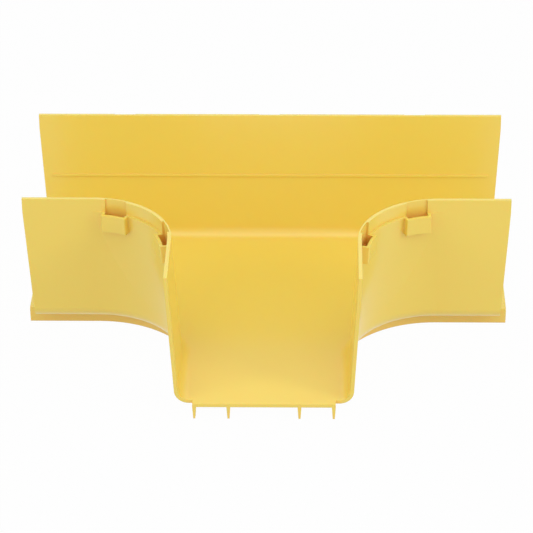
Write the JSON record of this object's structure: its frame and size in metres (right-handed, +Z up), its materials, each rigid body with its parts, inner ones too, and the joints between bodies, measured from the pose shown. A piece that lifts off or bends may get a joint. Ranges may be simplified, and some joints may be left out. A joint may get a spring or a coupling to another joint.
{
  "type": "fibre raceway tee",
  "caption": "Open U-section horizontal tee of a fibre raceway: a straight run whose outlet joins through rounded corners, with floor tongues, fins beneath and pockets for a lid.",
  "frame": {"origin": "under the middle of the bounding box, on the plane of the fin tips", "axes": "+X along the straight run to the right, +Z up out of the open trough; the outlet points along -Y, towards the viewer of the picture"},
  "size_m": [0.4168, 0.3006, 0.1337],
  "materials": {
    "yellow_plastic": "satin moulded"
  },
  "bodies": {
    "root": {"raceway_tee": "yellow_plastic"}
  },
  "joints": []
}
